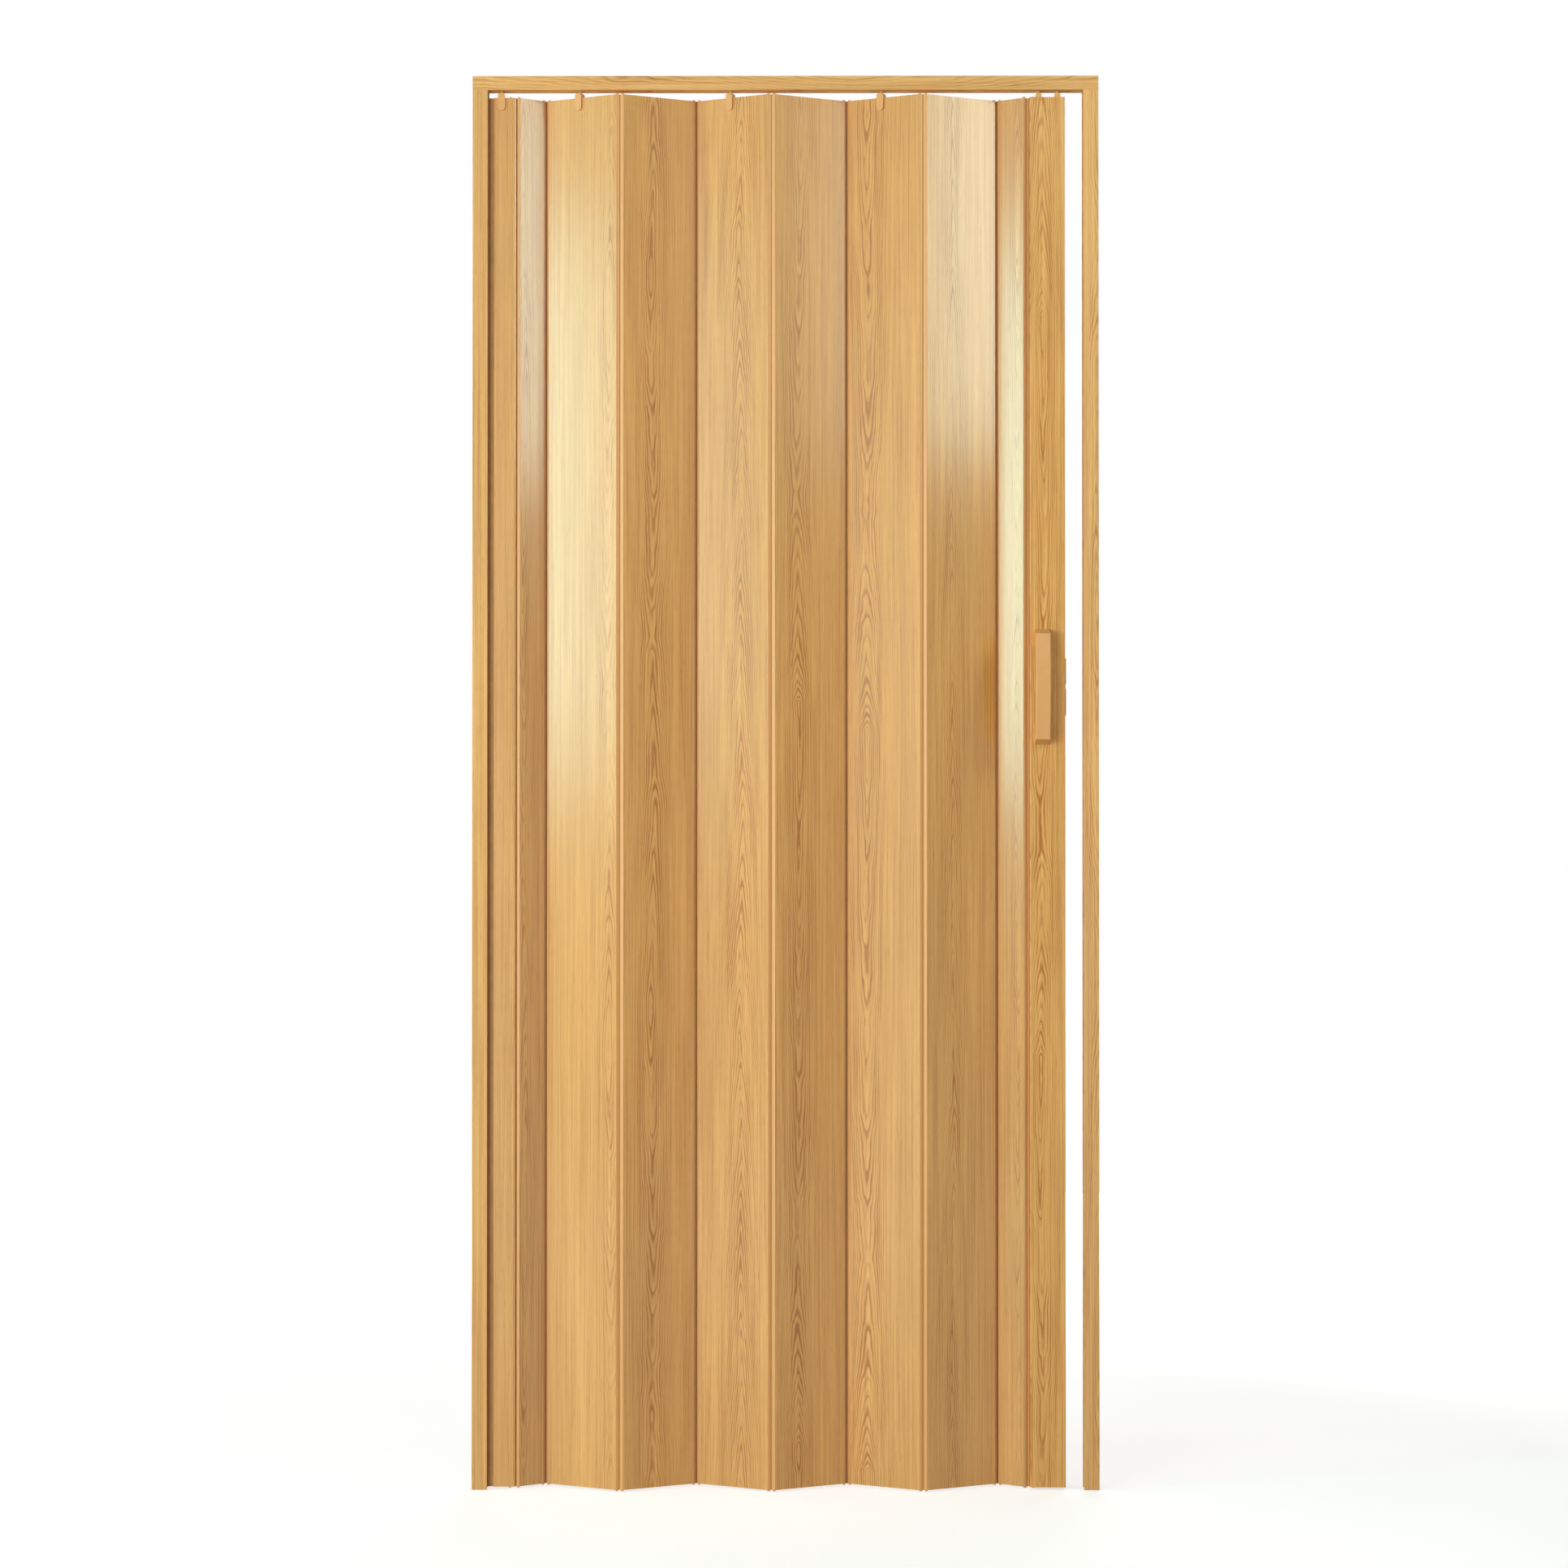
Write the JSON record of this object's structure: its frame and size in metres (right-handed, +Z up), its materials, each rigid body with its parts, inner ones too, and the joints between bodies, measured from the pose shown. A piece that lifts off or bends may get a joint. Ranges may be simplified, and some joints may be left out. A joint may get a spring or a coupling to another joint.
{
  "type": "accordion room divider",
  "caption": "Folding accordion divider of hollow slats joined by beaded hinge strips, hung on glides from a slotted top track, with side jambs, bow handles and a magnetic catch.",
  "frame": {"origin": "floor level under the middle of the track, half way between the outer faces of the jambs and of the handles", "axes": "+X along the track from the fixed side to the closing side, +Y to the back, +Z up"},
  "size_m": [0.9, 0.084, 2.03],
  "materials": {
    "oak_foil": "satin wood-look foil on hollow plastic extrusions",
    "tan_plastic": "plain satin plastic",
    "steel": "zinc plated",
    "magnet": "dark sintered"
  },
  "bodies": {
    "frame": {"top_track": "oak_foil", "wall_jamb": "oak_foil", "strike_jamb": "oak_foil", "wall_stile": "oak_foil", "wall_glide": "tan_plastic", "strike_plate": "steel", "strike_rivets": "steel"},
    "wall_end": {"end_panel_wall": "oak_foil", "wall_hinge_strip": "tan_plastic"},
    "strip_1": {"hinge_strip_1": "tan_plastic"},
    "slat_1": {"panel_1": "oak_foil", "panel_glide_1": "tan_plastic"},
    "strip_2": {"hinge_strip_2": "tan_plastic"},
    "slat_2": {"panel_2": "oak_foil"},
    "strip_3": {"hinge_strip_3": "tan_plastic"},
    "slat_3": {"panel_3": "oak_foil", "panel_glide_2": "tan_plastic"},
    "strip_4": {"hinge_strip_4": "tan_plastic"},
    "slat_4": {"panel_4": "oak_foil"},
    "strip_5": {"hinge_strip_5": "tan_plastic"},
    "slat_5": {"panel_5": "oak_foil", "panel_glide_3": "tan_plastic"},
    "strip_6": {"hinge_strip_6": "tan_plastic"},
    "slat_6": {"panel_6": "oak_foil"},
    "strip_7": {"hinge_strip_7": "tan_plastic"},
    "lead_end": {"end_panel_lead": "oak_foil", "lead_hinge_strip": "tan_plastic"},
    "post": {"lead_post": "oak_foil", "lead_glides": "tan_plastic", "front_handle": "tan_plastic", "rear_handle": "tan_plastic", "handle_screws": "steel", "magnet_holder": "tan_plastic", "magnets": "magnet"}
  },
  "joints": [
    {"name": "fold", "type": "hinge", "parent": "frame", "child": "wall_end", "pos_m": [-0.396, 0, 0], "axis": [0, 0, 1], "range_deg": [-8.1, 53.1]},
    {"name": "strip_1_turn", "type": "hinge", "parent": "wall_end", "child": "strip_1", "pos_m": [-0.34989, 0.02339, 0], "axis": [0, 0, 1], "range_deg": [-53.6, 8.6]},
    {"name": "slat_1_turn", "type": "hinge", "parent": "strip_1", "child": "slat_1", "pos_m": [-0.34189, 0.02339, 0], "axis": [0, 0, 1], "range_deg": [-53.6, 8.6]},
    {"name": "strip_2_turn", "type": "hinge", "parent": "slat_1", "child": "strip_2", "pos_m": [-0.2413, -0.02764, 0], "axis": [0, 0, 1], "range_deg": [-8.6, 53.6]},
    {"name": "slat_2_turn", "type": "hinge", "parent": "strip_2", "child": "slat_2", "pos_m": [-0.2333, -0.02764, 0], "axis": [0, 0, 1], "range_deg": [-8.6, 53.6]},
    {"name": "strip_3_turn", "type": "hinge", "parent": "slat_2", "child": "strip_3", "pos_m": [-0.1327, 0.02339, 0], "axis": [0, 0, 1], "range_deg": [-53.6, 8.6]},
    {"name": "slat_3_turn", "type": "hinge", "parent": "strip_3", "child": "slat_3", "pos_m": [-0.1247, 0.02339, 0], "axis": [0, 0, 1], "range_deg": [-53.6, 8.6]},
    {"name": "strip_4_turn", "type": "hinge", "parent": "slat_3", "child": "strip_4", "pos_m": [-0.0241, -0.02764, 0], "axis": [0, 0, 1], "range_deg": [-8.6, 53.6]},
    {"name": "slat_4_turn", "type": "hinge", "parent": "strip_4", "child": "slat_4", "pos_m": [-0.0161, -0.02764, 0], "axis": [0, 0, 1], "range_deg": [-8.6, 53.6]},
    {"name": "strip_5_turn", "type": "hinge", "parent": "slat_4", "child": "strip_5", "pos_m": [0.0845, 0.02339, 0], "axis": [0, 0, 1], "range_deg": [-53.6, 8.6]},
    {"name": "slat_5_turn", "type": "hinge", "parent": "strip_5", "child": "slat_5", "pos_m": [0.0925, 0.02339, 0], "axis": [0, 0, 1], "range_deg": [-53.6, 8.6]},
    {"name": "strip_6_turn", "type": "hinge", "parent": "slat_5", "child": "strip_6", "pos_m": [0.19309, -0.02764, 0], "axis": [0, 0, 1], "range_deg": [-8.6, 53.6]},
    {"name": "slat_6_turn", "type": "hinge", "parent": "strip_6", "child": "slat_6", "pos_m": [0.20109, -0.02764, 0], "axis": [0, 0, 1], "range_deg": [-8.6, 53.6]},
    {"name": "strip_7_turn", "type": "hinge", "parent": "slat_6", "child": "strip_7", "pos_m": [0.30169, 0.02339, 0], "axis": [0, 0, 1], "range_deg": [-53.6, 8.6]},
    {"name": "lead_end_turn", "type": "hinge", "parent": "strip_7", "child": "lead_end", "pos_m": [0.30969, 0.02339, 0], "axis": [0, 0, 1], "range_deg": [-53.6, 8.6]},
    {"name": "post_turn", "type": "hinge", "parent": "lead_end", "child": "post", "pos_m": [0.3558, 0, 0], "axis": [0, 0, 1], "range_deg": [-8.6, 53.6]}
  ],
  "couplings": [
    {"joint": "strip_1_turn", "follows": "fold", "ratio": -1},
    {"joint": "slat_1_turn", "follows": "fold", "ratio": -1},
    {"joint": "strip_2_turn", "follows": "fold", "ratio": 1},
    {"joint": "slat_2_turn", "follows": "fold", "ratio": 1},
    {"joint": "strip_3_turn", "follows": "fold", "ratio": -1},
    {"joint": "slat_3_turn", "follows": "fold", "ratio": -1},
    {"joint": "strip_4_turn", "follows": "fold", "ratio": 1},
    {"joint": "slat_4_turn", "follows": "fold", "ratio": 1},
    {"joint": "strip_5_turn", "follows": "fold", "ratio": -1},
    {"joint": "slat_5_turn", "follows": "fold", "ratio": -1},
    {"joint": "strip_6_turn", "follows": "fold", "ratio": 1},
    {"joint": "slat_6_turn", "follows": "fold", "ratio": 1},
    {"joint": "strip_7_turn", "follows": "fold", "ratio": -1},
    {"joint": "lead_end_turn", "follows": "fold", "ratio": -1},
    {"joint": "post_turn", "follows": "fold", "ratio": 1}
  ]
}
